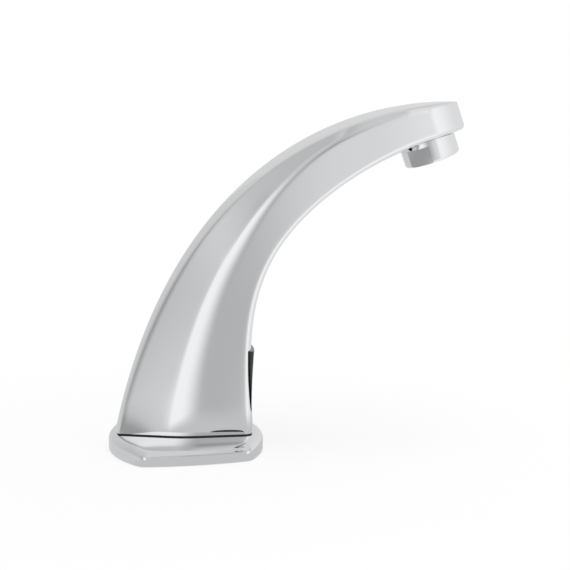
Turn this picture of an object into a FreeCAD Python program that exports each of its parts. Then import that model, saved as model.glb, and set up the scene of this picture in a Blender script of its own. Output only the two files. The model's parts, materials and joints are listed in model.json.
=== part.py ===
import FreeCAD, Part
import math
import os

# Touch-free basin tap: an arched cast spout on a cushion-shaped base plate, with an
# infrared window low on its front, a latching solenoid valve in its foot and a
# screwed-in aerator under its nose.
# Millimetres. Origin: centre of the water inlet, level with the plate's underside.
# +X points forward to the outlet, +Z up, and the tap is the same left and right of Y = 0.

os.makedirs("parts", exist_ok=True)
V = FreeCAD.Vector

# ---------------------------------------------------------------- driving dimensions
# clearances
slip = 0.05             # running or locating fit, radial
gap = 0.15              # loose fit between neighbours
beyond = 400.0          # how far a cutter reaches past what it cuts

# base plate
plate_x = 3.0               # its centre
plate_half_length = 32.3    # along X
plate_half_width = 32.0     # along Y
plate_end_r = 50.0          # curve of the two ends
plate_side_r = 125.0        # curve of the two sides
plate_corner_r = 5.0
plate_edge_z = 4.2          # top of the upright edge
plate_top_z = 7.6           # flat top
plate_shoulder = 4.4        # how far the rounded shoulder draws in at the ends
plate_flat_half = 17.4      # the top is flat this far to each side,
plate_fall_half = 27.6      # falls gently as far as here,
plate_fall = 1.5            # by this much, and then rounds off to the upright edge
plate_slot_rim = 1.2        # gap round the foot's bosses
deck_seal_inset = 3.0
deck_seal_width = 2.4
deck_seal_thickness = 1.2

# spout body, outside
body_seal_thickness = 0.5
foot_back_x = -26.2
foot_front_x = 28.4         # line of the front corners
foot_back_half = 4.0        # half width of the narrow back face
foot_crease_half = 14.6     # half width at the crease along the side
foot_front_half = 16.9      # half width at the front corners
back_low_handle = (26.7, 118.5)      # handles of the back curve, from the foot
back_high_handle = (-46.4, 2.0)      # and from the nose
front_low_handle = (-2.6, 67.7)      # handles of the front curve, from the foot
front_mid_handle = (-3.6, 81.8)
front_high_handle = (-39.6, 0.5)     # and from the nose
front_bow = 1.9             # how far the front face bows out between its corners
back_bow = 0.35
crease_low = 0.47           # place of the crease across the side, up to crease_from
crease_mid = 0.19           # and from crease_to
crease_nose = 0.22          # and at the nose
crease_from = 0.30
crease_to = 0.64
crease_least = 0.8          # but never nearer to the back face than this
corner_cut = 3.0            # rounding of the front corners, along each side, at the foot
nose_corner_cut = 1.6       # and at the nose
crease_cut = 7.0            # the crease is softly rounded at the foot,
nose_crease_cut = 1.2       # and crisp at the nose
back_corner_cut = 1.0
stations = 11               # sections in the loft
wall = 2.4

# nose and outlet
reach = 110.8               # X of the outlet's mouth
outlet_height = 120.2       # Z of the outlet's mouth
outlet_tilt = 19.5          # degrees that the stream leans forward
nose_r = 17.1               # round end of the nose, about the outlet's axis
nose_overrun = 18.2         # the loft runs this far past the mouth, before it is cut round
nose_top_rise = 24.2        # top of the nose over the mouth
nose_under_rise = 13.4      # underside of the nose over the mouth
nose_side_from = 0.80       # share of the loft from where the sides are parallel
cavity_back_off = 9.5       # the hollow ends this far behind the outlet's axis

# aerator, along the outlet's axis; heights count up from the mouth
ring_r = 12.0
ring_height = 10.4
ring_across_flats = 21.6
ring_flat_turn = 42.0       # degrees that the flats are turned towards the back
ring_round = 0.5
flat_top = 7.4              # the flats run up to this height
mouth_r = 8.6
mouth_lip = 1.2
ring_bore_r = 9.4
sleeve_r = 11.7             # male thread, modelled at its outside
sleeve_length = 3.6
washer_thickness = 0.9
insert_flange = 0.9
insert_web = 1.2
insert_holes = 12
honey_h = 1.8               # straightening grid at the mouth
jet_h = 7.5                 # plate of fine jets
screen_h = 11.5
washer_bore_r = 9.0
screen_thickness = 0.4
thread_pitch = 1.0

# outlet adapter
seat_lift = 0.5             # gap between the ring and the nose
adapter_r = 13.4
adapter_neck_r = 10.0
adapter_step = 0.5          # height of the wide part over the thread
chamber_r = 8.6
chamber_height = 4.4
adapter_cap = 0.9
socket_wall = 0.9           # of the boss behind it that takes the pipe

# foot
foot_thickness = 5.1
foot_wall = 1.9             # shell left round the foot
inlet_x = 0.0
inlet_r = 4.5               # tapping size of M10 x 1
inlet_boss_r = 7.8
boss_bottom_z = 0.0
stud_depth = 12.0
inlet_thread = 9.2
stud_r = 2.5                # tapping size of M6
stud_boss_r = 4.0
stud_back_x = -17.5
stud_front_x = 16.5
cable_x = 23.6
cable_hole_r = 3.2
cable_r = 1.7
foot_screws = [(12.6, 8.9), (-12.5, 4.6)]
foot_screw_r = 1.6
foot_screw_head_r = 2.5
foot_screw_head = 1.8
foot_screw_length = 11.0
screw_boss_r = 2.6
screw_boss_height = 8.5

# inlet filter
filter_bore_r = 4.9
filter_room_r = 4.1
filter_depth = 1.0
filter_flange = 0.85
filter_skin = 0.5
filter_reach = 2.6

# water valve
valve_r = 9.0
valve_height = 11.0
nozzle_r = 3.4
nozzle_bore_r = 2.2
nozzle_height = 7.4
valve_chamber_r = 5.3
valve_floor = 3.4
valve_seal_r = 5.6          # to the middle of the ring
valve_seal_wire = 0.5
rim_r = 6.25
rim_thickness = 1.2
membrane = 0.8
pad_r = 3.6
pad_thickness = 2.0
bonnet_flange = 2.5
bonnet_pocket = 1.6
hub_r = 5.5
hub_rise = 1.8
valve_screw_circle = 7.5
valve_screw_r = 1.0
valve_screw_head_r = 1.75
valve_screw_head = 1.5
valve_screw_bite = 3.8

# solenoid
plunger_r = 3.5
plunger_length = 15.0
plunger_travel = 1.2
guide_skin = 0.65
guide_cap = 1.2
core_length = 3.8
spring_pocket_r = 1.7
spring_pocket_depth = 5.0
spring_r = 1.35             # to the middle of the wire
spring_wire_r = 0.2
spring_turns = 7
bobbin_skin = 0.7
bobbin_flange = 1.2
top_flange = 2.4
winding_r = 6.5
yoke_r = 7.8
yoke_skin = 0.7
yoke_half = 4.0
magnet_r = 4.0
magnet_thickness = 2.0

# outlet branch of the valve and the water pipe
branch_x = 13.0
branch_r = 4.5
pipe_r = 2.8
pipe_bore_r = 2.1
pipe_ring_wire = 0.45
port_ring_wire = 0.4
pipe_engage = 2.6
nut_r = 3.6
nut_corner_r = 3.9
nut_thread = 1.8
nut_head_height = 2.2
pipe_rise = 22.0
pipe_run_in = 9.0           # straight stretch into the adapter
pipe_bend_share = 0.40

# sensor
window_bottom_z = 17.2
window_height = 25.6
window_half_width = 16.6
window_rise = 1.5           # how far its top stands proud of the body
window_back_x = 26.4
window_edge_top_x = 27.2    # its side edge slants forward towards the bottom
window_edge_bottom_x = 28.5
window_tongue_half = 12.6   # the part that reaches back to its seal
window_seal_thickness = 0.6
window_skin = 2.0
brow_thickness = 1.1        # cast lip over the window
brow_set_back = 0.5
ledge_back_x = 23.0
ledge_half_width = 20.0     # wider than the hollow, so that it joins both sides
ledge_margin = 1.9
sensor_hole_half = 10.6
sensor_hole_margin = 2.6
sensor_half = 10.2
sensor_depth = 8.4
sensor_skin = 1.2
strap_thickness = 1.5
strap_half = 3.5
sensor_screw_r = 1.25
sensor_screw_head_r = 2.2
sensor_screw_head = 1.5
sensor_screw_bite = 2.1
board_thickness = 1.1
board_x = 20.2
lens_r = 2.5
lens_length = 4.4
led_r = 1.5
led_length = 3.4
lead_r = 0.8
lead_y = 4.7

# ---------------------------------------------------------------- derived heights
foot_z = plate_top_z + body_seal_thickness
foot_top_z = foot_z + foot_thickness
valve_top_z = foot_top_z + valve_height
seat_z = foot_top_z + nozzle_height
bonnet_top_z = valve_top_z + bonnet_flange
hub_top_z = bonnet_top_z + hub_rise
plunger_z = seat_z + pad_thickness + membrane + slip
core_z = plunger_z + plunger_length + plunger_travel + gap
guide_top_z = core_z + core_length + guide_cap
window_top_z = window_bottom_z + window_height
nose_end_x = reach + nose_overrun
nose_top_z = outlet_height + nose_top_rise
nose_under_z = outlet_height + nose_under_rise
seat_h = ring_height + seat_lift
sleeve_top_h = seat_h + sleeve_length
thread_top_h = sleeve_top_h + washer_thickness
step_h = thread_top_h + adapter_step
chamber_top_h = thread_top_h + chamber_height
adapter_top_h = chamber_top_h + adapter_cap
port_h = thread_top_h + pipe_r + slip + 0.1
socket_top_h = port_h + pipe_r + socket_wall


# ---------------------------------------------------------------- shapes in general
def box(x0, x1, y0, y1, z0, z1):
    return Part.makeBox(x1 - x0, y1 - y0, z1 - z0, V(x0, y0, z0))


def rod(r, z0, z1, x=0.0, y=0.0):
    return Part.makeCylinder(r, z1 - z0, V(x, y, z0))


def rod_x(r, x0, x1, y, z):
    return Part.makeCylinder(r, x1 - x0, V(x0, y, z), V(1, 0, 0))


def ring(r_out, r_in, z0, z1, x=0.0, y=0.0):
    return rod(r_out, z0, z1, x, y).cut(rod(r_in, z0 - 1, z1 + 1, x, y))


def fuse(first, *others):
    return first.multiFuse(list(others)).removeSplitter()


def cut(first, *others):
    shape = first
    for other in others:
        shape = shape.cut(other)
    return shape


def turned(profile, x=0.0, y=0.0):
    """A solid of revolution about +Z: profile is a list of (radius, height)."""
    points = [V(r, 0, z) for r, z in profile]
    face = Part.Face(Part.makePolygon(points + [points[0]]))
    solid = face.revolve(V(0, 0, 0), V(0, 0, 1), 360)
    solid.translate(V(x, y, 0))
    return solid


def export(shape, name):
    solids = shape.Solids
    keep = solids[0] if len(solids) == 1 else Part.makeCompound(solids)
    keep.exportStep("parts/" + name + ".step")
    volume = sum(s.Volume for s in solids)
    print("%-18s solids %d  valid %s  %.1f mm3" % (name, len(solids), keep.isValid(), volume))


# ---------------------------------------------------------------- the spout's sections
def bezier(points, t):
    """Point at share t of the curve through any number of handles."""
    while len(points) > 1:
        points = [a + (b - a) * t for a, b in zip(points[:-1], points[1:])]
    return points[0]


def handle(start, step):
    return start + V(step[0], 0, step[1])


back_foot = V(foot_back_x, 0, foot_z)
back_nose = V(nose_end_x, 0, nose_top_z)
front_foot = V(foot_front_x, 0, foot_z)
front_nose = V(nose_end_x, 0, nose_under_z)
back_curve = [
    back_foot,
    handle(back_foot, back_low_handle),
    handle(back_nose, back_high_handle),
    back_nose,
]
front_curve = [
    front_foot,
    handle(front_foot, front_low_handle),
    handle(front_foot, front_mid_handle),
    handle(front_nose, front_high_handle),
    front_nose,
]


def ease(a, b, t):
    """Smooth change from a to b, level at b, reached where the sides become parallel."""
    return a + (b - a) * math.sin(math.pi / 2 * min(1.0, t / nose_side_from))


def half_widths(t):
    """Half widths at the back face, the crease and the front corner."""
    nose_back = nose_r - back_corner_cut
    grow = (nose_back - foot_back_half) * min(1.0, t / nose_side_from) ** 1.4
    crease = ease(foot_crease_half, nose_r, t)
    front = ease(foot_front_half, nose_r, t)
    return foot_back_half + grow, crease, front


def crease_place(t):
    """Share of the way across the side, from the back, where the crease runs."""
    s = min(1.0, max(0.0, (t - crease_from) / (crease_to - crease_from)))
    place = crease_low + (crease_mid - crease_low) * s * s * (3 - 2 * s)
    late = max(0.0, (t - crease_to) / (1 - crease_to))
    return place + (crease_nose - crease_mid) * late


def rounded_wire(corners, cuts, place):
    """Closed wire of lines and arcs; cuts are the lengths taken off at each corner."""
    edges = []
    count = len(corners)
    ends = []
    for i in range(count):
        here = corners[i]
        to_last = (corners[i - 1] - here).normalize()
        to_next = (corners[(i + 1) % count] - here).normalize()
        a = here + to_last * cuts[i]
        b = here + to_next * cuts[i]
        half = to_last.getAngle(to_next) / 2
        inward = (to_last + to_next).normalize()
        radius = cuts[i] * math.tan(half)
        middle = here + inward * (radius / math.sin(half) - radius)
        ends.append((a, middle, b))
    for i in range(count):
        a, middle, b = ends[i]
        edges.append(Part.Arc(place(a), place(middle), place(b)).toShape())
        edges.append(Part.LineSegment(place(b), place(ends[(i + 1) % count][0])).toShape())
    return Part.Wire(edges)


def section(t, inset=0.0):
    """Closed outline of the body at share t of its length, drawn in by inset."""
    back = bezier(back_curve, t)
    front = bezier(front_curve, t)
    across = (front - back).normalize()
    depth = (front - back).Length
    w_back, w_crease, w_front = [w - inset for w in half_widths(t)]
    u_crease = depth * crease_place(t)
    u_crease = max(u_crease, inset + crease_least)
    u_front = depth - inset
    half = [
        V(inset, w_back, 0),
        V(u_crease, w_crease, 0),
        V(u_front, w_front, 0),
    ]
    corners = [V(inset - back_bow, 0, 0)] + half
    corners += [V(u_front + 2 * front_bow, 0, 0)]
    corners += [V(p.x, -p.y, 0) for p in reversed(half)]
    room = 0.45 * (half[1] - half[0]).Length
    front_cut = corner_cut + (nose_corner_cut - corner_cut) * t
    back_cut = min(back_corner_cut, room, 0.2 * w_back)
    soft_cut = nose_crease_cut + (crease_cut - nose_crease_cut) * (1 - t) ** 2.6
    side = [back_cut, min(soft_cut, room), min(front_cut, 0.3 * w_front)]
    cuts = [0.75 * w_back] + side + [0.65 * w_front] + side[::-1]

    def place(p):
        return back + across * p.x + V(0, p.y, 0)

    return rounded_wire(corners, cuts, place)


def body_loft(inset, t0, t1, count):
    wires = [section(t0 + (t1 - t0) * i / (count - 1), inset) for i in range(count)]
    return Part.makeLoft(wires, True, False)


# ---------------------------------------------------------------- the outlet's axis
axis_up = V(-math.sin(math.radians(outlet_tilt)), 0, math.cos(math.radians(outlet_tilt)))
axis_ahead = V(math.cos(math.radians(outlet_tilt)), 0, math.sin(math.radians(outlet_tilt)))
mouth = V(reach, 0, outlet_height)


def at_outlet(shape):
    """Stands a shape made about +Z on the outlet's axis, its zero at the mouth."""
    shape.rotate(V(0, 0, 0), V(0, 1, 0), -outlet_tilt)
    shape.translate(mouth)
    return shape


# ---------------------------------------------------------------- base plate
def cushion(inset, z):
    """Closed outline of eight arcs: bowed ends, bowed sides and rounded corners."""
    half_x = plate_half_length - inset
    half_y = plate_half_width - inset
    end_r = plate_end_r - inset
    side_r = plate_side_r - inset
    corner_r = plate_corner_r - 0.6 * inset
    end_centre = V(half_x - end_r, 0, z)
    side_centre = V(0, half_y - side_r, z)
    # the corner's centre lies inside both arcs by its own radius
    a = end_r - corner_r
    b = side_r - corner_r
    line = side_centre - end_centre
    apart = line.Length
    share = (a * a - b * b + apart * apart) / (2 * apart)
    rise = math.sqrt(a * a - share * share)
    line.normalize()
    across = V(-line.y, line.x, 0)
    corner = end_centre + line * share + across * rise
    if corner.x < 0 or corner.y < 0:
        corner = end_centre + line * share - across * rise
    on_end = corner + (corner - end_centre).normalize() * corner_r
    on_side = corner + (corner - side_centre).normalize() * corner_r
    mid = corner + ((on_end + on_side) * 0.5 - corner).normalize() * corner_r

    def put(p, x_sign, y_sign):
        return V(plate_x + x_sign * p.x, y_sign * p.y, z)

    end = V(half_x, 0, 0)
    side = V(0, half_y, 0)
    arcs = [
        (put(on_end, 1, -1), put(end, 1, 1), put(on_end, 1, 1)),
        (put(on_end, 1, 1), put(mid, 1, 1), put(on_side, 1, 1)),
        (put(on_side, 1, 1), put(side, 1, 1), put(on_side, -1, 1)),
        (put(on_side, -1, 1), put(mid, -1, 1), put(on_end, -1, 1)),
        (put(on_end, -1, 1), put(end, -1, 1), put(on_end, -1, -1)),
        (put(on_end, -1, -1), put(mid, -1, -1), put(on_side, -1, -1)),
        (put(on_side, -1, -1), put(side, 1, -1), put(on_side, 1, -1)),
        (put(on_side, 1, -1), put(mid, 1, -1), put(on_end, 1, -1)),
    ]
    return Part.Wire([Part.Arc(*points).toShape() for points in arcs])


def cushion_prism(inset, z0, z1):
    return Part.Face(cushion(inset, z0)).extrude(V(0, 0, z1 - z0))


def shoulder_wire(turn):
    c = 1 - math.cos(math.radians(turn))
    s = math.sin(math.radians(turn))
    return cushion(plate_shoulder * c, plate_edge_z + (plate_top_z - plate_edge_z) * s)


def crown():
    """A long bar under whose crowned top the plate is kept."""
    fall_z = plate_top_z - plate_fall
    drop = fall_z - plate_edge_z
    run = plate_half_width - plate_fall_half
    half = []
    half.append(V(0, plate_flat_half, plate_top_z))
    half.append(V(0, (plate_flat_half + plate_fall_half) / 2, plate_top_z - 0.34 * plate_fall))
    half.append(V(0, plate_fall_half, fall_z))
    half.append(V(0, plate_fall_half + 0.50 * run, fall_z - 0.26 * drop))
    half.append(V(0, plate_fall_half + 0.84 * run, fall_z - 0.60 * drop))
    half.append(V(0, plate_half_width + 0.1, plate_edge_z))
    curve = Part.BSplineCurve()
    curve.interpolate(half, InitialTangent=V(0, 1, 0), FinalTangent=V(0, 0.3, -1.0))
    right = curve.toShape()
    left = right.mirror(V(0, 0, 0), V(0, 1, 0))
    out = half[-1]
    low = -1.0
    top = Part.LineSegment(V(0, -half[0].y, half[0].z), half[0]).toShape()
    down = Part.makePolygon([out, V(0, out.y, low), V(0, -out.y, low), V(0, -out.y, out.z)])
    wire = Part.Wire(Part.sortEdges([top, right, left] + down.Edges)[0])
    bar = Part.Face(wire).extrude(V(4 * plate_half_length, 0, 0))
    bar.translate(V(plate_x - 2 * plate_half_length, 0, 0))
    return bar


def slot_prism(rim, z0, z1):
    """Long hole that clears the bosses under the foot."""
    side = stud_boss_r + rim
    return fuse(
        rod(inlet_boss_r + rim, z0, z1, inlet_x),
        rod(side, z0, z1, stud_back_x),
        rod(side, z0, z1, cable_x - 1),
        box(stud_back_x, cable_x - 1, -side, side, z0, z1),
    )


shoulder = Part.makeLoft([shoulder_wire(a) for a in (0, 30, 60, 90)], True, False)
base_plate = fuse(cushion_prism(0, 0, plate_edge_z), shoulder).common(crown())
seal_outer = cushion_prism(deck_seal_inset, 0, deck_seal_thickness)
seal_inner = cushion_prism(deck_seal_inset + deck_seal_width, -1, deck_seal_thickness + 1)
deck_seal = seal_outer.cut(seal_inner)
base_plate = cut(base_plate, deck_seal, slot_prism(plate_slot_rim, -1, plate_top_z + 1))

# ---------------------------------------------------------------- spout body
outer = body_loft(0, 0, 1, stations)
keep_back = box(-beyond, 0, -beyond, beyond, -beyond, beyond)
keep = at_outlet(fuse(keep_back, rod(nose_r, -beyond, beyond)))
outer = outer.common(keep)


def foot_prism(inset, z0, z1):
    """Upright prism on the body's outline at the foot."""
    wire = section(0.0, inset)
    wire.translate(V(0, 0, z0 - foot_z))
    return Part.Face(wire).extrude(V(0, 0, z1 - z0))


cavity = body_loft(wall, 0, 0.97, stations)
cavity = cavity.common(box(-beyond, beyond, -beyond, beyond, foot_top_z, beyond))
block = at_outlet(box(-beyond, -cavity_back_off, -beyond, beyond, -beyond, beyond))
cavity = cavity.common(block)

foot_recess = foot_prism(foot_wall, foot_z - 1, foot_top_z)
screw_places = [(x, y * side) for x, y in foot_screws for side in (1, -1)]
boss_top_z = foot_top_z + screw_boss_height
bosses = []
for x, y in screw_places:
    bosses.append(rod(screw_boss_r, foot_top_z - 1, boss_top_z, x, y))
    y_far = y + math.copysign(8, y)
    rib = screw_boss_r * 0.7
    bosses.append(box(x - rib, x + rib, min(y, y_far), max(y, y_far), foot_top_z - 1, boss_top_z))
ledge_top_z = window_top_z + ledge_margin
ledge_bottom_z = window_bottom_z - ledge_margin
ledge = box(
    ledge_back_x,
    foot_front_x + 4,
    -ledge_half_width,
    ledge_half_width,
    ledge_bottom_z,
    ledge_top_z,
)
solid_bits = Part.makeCompound(bosses + [ledge])
cavity = cavity.cut(solid_bits)


def front_t(z):
    """Share of the front curve at height z, found by halving."""
    low, high = 0.0, 1.0
    for _ in range(40):
        middle = (low + high) / 2
        if bezier(front_curve, middle).z < z:
            low = middle
        else:
            high = middle
    return low


def window_wire(z, proud, back_x, grow=0.0):
    """Flat outline of the window at height z: the body's front, moved out by proud."""
    corner_x = bezier(front_curve, front_t(z)).x + proud
    edge = window_half_width + grow
    bend = corner_cut * 0.55
    side_x = corner_x - bend
    shoulder_y = edge - 0.45 * corner_cut
    a = V(back_x, -edge, z)
    b = V(side_x, -edge, z)
    c = V(corner_x + 0.15 * front_bow, -shoulder_y, z)
    d = V(corner_x + 0.15 * front_bow, shoulder_y, z)
    e = V(side_x, edge, z)
    f = V(back_x, edge, z)
    mid_b = V(corner_x - 0.28 * bend, -(edge - 0.1 * corner_cut), z)
    mid_e = V(corner_x - 0.28 * bend, edge - 0.1 * corner_cut, z)
    apex = V(corner_x + front_bow, 0, z)
    edges = [
        Part.LineSegment(a, b).toShape(),
        Part.Arc(b, mid_b, c).toShape(),
        Part.Arc(c, apex, d).toShape(),
        Part.Arc(d, mid_e, e).toShape(),
        Part.LineSegment(e, f).toShape(),
        Part.LineSegment(f, a).toShape(),
    ]
    return Part.Wire(edges)


def window_block(z0, z1, proud0, proud1, back_x, grow=0.0):
    middle = (z0 + z1) / 2
    wires = [
        window_wire(z0, proud0, back_x, grow),
        window_wire(middle, (proud0 + proud1) / 2, back_x, grow),
        window_wire(z1, proud1, back_x, grow),
    ]
    return Part.makeLoft(wires, True, False)


def side_wedge(clear):
    """Leaves the window's sides no deeper than their slanted edge, on both sides."""
    lean = (window_edge_top_x - window_edge_bottom_x) / window_height
    low = window_bottom_z - 1
    high = window_top_z + 1
    points = [
        V(window_back_x - 4, 0, low),
        V(window_edge_bottom_x - lean - clear, 0, low),
        V(window_edge_top_x + lean - clear, 0, high),
        V(window_back_x - 4, 0, high),
    ]
    face = Part.Face(Part.makePolygon(points + [points[0]]))
    wedges = []
    for side in (1, -1):
        wedge = face.extrude(V(0, side * 12, 0))
        wedge.translate(V(0, side * (window_tongue_half + clear), 0))
        wedges.append(wedge)
    return Part.makeCompound(wedges)


window = window_block(window_bottom_z, window_top_z, 0.1, window_rise, window_back_x)
window = window.cut(side_wedge(0))
seal_back_x = window_back_x - window_seal_thickness
window_pocket = window_block(
    window_bottom_z - slip, window_top_z + slip, 4.0, 4.0, seal_back_x, 4.0
)
window_pocket = window_pocket.cut(side_wedge(slip))
brow = window_block(
    window_top_z + slip,
    window_top_z + slip + brow_thickness,
    window_rise - brow_set_back,
    window_rise - brow_set_back - 0.35,
    window_back_x,
)
window_hollow = box(
    window_back_x - 1,
    foot_front_x - window_skin,
    -sensor_half,
    sensor_half,
    window_bottom_z + sensor_hole_margin,
    window_top_z - sensor_hole_margin,
)
window = window.cut(window_hollow)
sensor_hole = box(
    ledge_back_x - 5,
    window_back_x + 1,
    -sensor_hole_half,
    sensor_hole_half,
    window_bottom_z + sensor_hole_margin - 0.4,
    window_top_z - sensor_hole_margin + 0.4,
)
strap_screw_z = [
    (ledge_bottom_z + window_bottom_z + sensor_hole_margin - 0.4) / 2,
    (ledge_top_z + window_top_z - sensor_hole_margin + 0.4) / 2,
]
strap_holes = [
    rod_x(sensor_screw_r + slip, ledge_back_x - 1, ledge_back_x + sensor_screw_bite, 0, z)
    for z in strap_screw_z
]

def adapter_outside(clear, below):
    """Wide part over the thread, narrow part over the chamber, boss for the pipe."""
    top = adapter_top_h + clear
    wide = rod(adapter_r + clear, seat_h - below, step_h + clear)
    neck = rod(adapter_neck_r + clear, seat_h, top)
    side = pipe_r + socket_wall + clear
    boss_top = socket_top_h + clear
    boss = box(-2 * adapter_r, -chamber_r, -side, side, seat_h, boss_top)
    boss = boss.common(rod(adapter_r + clear, seat_h, boss_top))
    return fuse(wide, neck, boss)


adapter_bore = at_outlet(adapter_outside(slip, 2 * ring_height))
screw_pilots = [
    rod(foot_screw_r + slip, foot_top_z - 1, foot_z + foot_screw_length + 0.5, x, y)
    for x, y in screw_places
]
spout_shell = cut(outer, cavity, foot_recess, adapter_bore, *screw_pilots)
spout_shell = cut(spout_shell, window_pocket, sensor_hole, *strap_holes)
spout_shell = spout_shell.fuse(brow)

# ---------------------------------------------------------------- seals outside
body_gasket = cut(
    foot_prism(0.25, plate_top_z, foot_z),
    foot_prism(foot_wall + 0.9, plate_top_z - 1, foot_z + 1),
    rod(stud_boss_r + gap, plate_top_z - 1, foot_z + 1, stud_back_x),
)
window_seal = box(
    seal_back_x,
    window_back_x,
    -window_tongue_half,
    window_tongue_half,
    window_bottom_z,
    window_top_z,
)
window_seal = window_seal.cut(sensor_hole)

# ---------------------------------------------------------------- mounting foot
inlet_top_z = foot_top_z - filter_depth
studs = [stud_back_x, stud_front_x]
foot = foot_prism(foot_wall + slip, foot_z, foot_top_z)
stud_bosses = [rod(stud_boss_r, boss_bottom_z, foot_z + 1, x) for x in studs]
foot = fuse(foot, rod(inlet_boss_r, boss_bottom_z, foot_z + 1, inlet_x), *stud_bosses)
foot = cut(
    foot,
    rod(inlet_r, boss_bottom_z - 1, boss_bottom_z + inlet_thread, inlet_x),
    rod(filter_room_r, boss_bottom_z, foot_top_z + 1, inlet_x),
    rod(filter_bore_r, inlet_top_z, foot_top_z + 1, inlet_x),
    rod(cable_hole_r, boss_bottom_z - 1, foot_top_z + 1, cable_x),
)
for x in studs:
    foot = foot.cut(rod(stud_r, boss_bottom_z - 1, boss_bottom_z + stud_depth, x))
screws = []
for x, y in screw_places:
    head_z = foot_z + foot_screw_head
    foot = foot.cut(rod(foot_screw_r + slip, foot_z - 1, foot_top_z + 1, x, y))
    foot = foot.cut(rod(foot_screw_head_r + slip, foot_z - 1, head_z, x, y))
    shank = rod(foot_screw_r, foot_z, foot_z + foot_screw_length, x, y)
    head = rod(foot_screw_head_r, foot_z, head_z, x, y)
    socket = rod(foot_screw_r * 0.7, foot_z - 1, foot_z + 1.0, x, y)
    screws.append(fuse(shank, head).cut(socket))
foot_screw_set = Part.makeCompound(screws)

grommet = turned([
    (cable_r, foot_z + 0.3),
    (cable_hole_r - slip, foot_z + 0.3),
    (cable_hole_r - slip, foot_top_z + slip),
    (cable_hole_r + 0.8, foot_top_z + slip),
    (cable_hole_r + 0.8, foot_top_z + 0.8),
    (cable_r + 0.6, foot_top_z + 2.0),
    (cable_r, foot_top_z + 2.0),
], cable_x)

# ---------------------------------------------------------------- inlet filter
filter_r = filter_room_r - 0.5
strainer = turned([
    (0, inlet_top_z - filter_reach),
    (filter_r, inlet_top_z - filter_reach),
    (filter_r, inlet_top_z + slip),
    (filter_bore_r - slip, inlet_top_z + slip),
    (filter_bore_r - slip, inlet_top_z + filter_flange),
    (filter_r - filter_skin, inlet_top_z + filter_flange),
    (filter_r - filter_skin, inlet_top_z - filter_reach + filter_skin),
    (0, inlet_top_z - filter_reach + filter_skin),
], inlet_x)
for i in range(8):
    slot_z = inlet_top_z - filter_reach
    slot = box(1.2, filter_r + 1, -0.45, 0.45, slot_z + 0.8, slot_z + 2.0)
    slot.rotate(V(0, 0, 0), V(0, 0, 1), 45 * i)
    slot.translate(V(inlet_x, 0, 0))
    strainer = strainer.cut(slot)

# ---------------------------------------------------------------- water valve
seal_mid_r = valve_seal_r
seal_z = foot_top_z + valve_seal_wire * 0.85
floor_z = foot_top_z + valve_floor
rim_z = valve_top_z - rim_thickness
branch_bore_z = floor_z + pipe_bore_r
nut_seat_z = valve_top_z - nut_thread
ring_seat_z = nut_seat_z - 2 * pipe_ring_wire - 0.1
valve_body = fuse(
    rod(valve_r, foot_top_z, valve_top_z, inlet_x),
    rod(branch_r, foot_top_z, valve_top_z, branch_x),
    box(inlet_x, branch_x, -branch_r, branch_r, foot_top_z, valve_top_z),
)
valve_body = cut(
    valve_body,
    ring(valve_chamber_r, nozzle_r, floor_z, valve_top_z + 1, inlet_x),
    rod(nozzle_r + 1, seat_z, valve_top_z + 1, inlet_x),
    rod(nozzle_bore_r, foot_top_z - 1, valve_top_z, inlet_x),
    rod(rim_r + slip, rim_z, valve_top_z + 1, inlet_x),
    ring(seal_mid_r + 0.7, seal_mid_r - 0.7, foot_top_z - 1, seal_z + 0.55, inlet_x),
    rod_x(pipe_bore_r, inlet_x + nozzle_r + 0.5, branch_x, 0, branch_bore_z),
    rod(pipe_bore_r, branch_bore_z, valve_top_z + 1, branch_x),
    rod(pipe_r + slip, ring_seat_z - pipe_engage, valve_top_z + 1, branch_x),
    rod(nut_r + slip, ring_seat_z, valve_top_z + 1, branch_x),
)
seal_ring = Part.makeTorus(seal_mid_r, valve_seal_wire, V(inlet_x, 0, seal_z))
seal_ring = seal_ring.common(box(-beyond, beyond, -beyond, beyond, foot_top_z, beyond))
diaphragm = fuse(
    rod(pad_r, seat_z, seat_z + pad_thickness + 0.1, inlet_x),
    rod(valve_chamber_r - gap, seat_z + pad_thickness, seat_z + pad_thickness + membrane, inlet_x),
    ring(rim_r, valve_chamber_r - 1.2, rim_z, valve_top_z, inlet_x),
)

bonnet = fuse(
    rod(valve_r, valve_top_z, bonnet_top_z, inlet_x),
    rod(hub_r, valve_top_z, hub_top_z, inlet_x),
    rod(plunger_r + slip + guide_skin, valve_top_z, guide_top_z, inlet_x),
)
bonnet = cut(
    bonnet,
    rod(plunger_r + slip, valve_top_z - 1, core_z, inlet_x),
    rod(valve_chamber_r - 1.2, valve_top_z - 1, valve_top_z + bonnet_pocket, inlet_x),
)
valve_screws = []
screw_bottom_z = foot_top_z - valve_screw_bite
for i in range(4):
    a = math.radians(45 + 90 * i)
    x = inlet_x + valve_screw_circle * math.cos(a)
    y = valve_screw_circle * math.sin(a)
    hole = rod(valve_screw_r + slip, screw_bottom_z - 0.3, bonnet_top_z + 1, x, y)
    foot = foot.cut(hole)
    valve_body = valve_body.cut(hole)
    bonnet = bonnet.cut(hole)
    shank = rod(valve_screw_r, screw_bottom_z, bonnet_top_z, x, y)
    head = rod(valve_screw_head_r, bonnet_top_z, bonnet_top_z + valve_screw_head, x, y)
    drive = rod(valve_screw_r * 0.6, bonnet_top_z + 0.6, bonnet_top_z + 9, x, y)
    valve_screws.append(fuse(shank, head).cut(drive))
valve_screw_set = Part.makeCompound(valve_screws)

# ---------------------------------------------------------------- solenoid
plunger_top_z = plunger_z + plunger_length
pocket_z = plunger_top_z - spring_pocket_depth
plunger = rod(plunger_r, plunger_z, plunger_top_z, inlet_x)
plunger = plunger.cut(rod(spring_pocket_r, pocket_z, plunger_top_z + 1, inlet_x))

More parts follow.
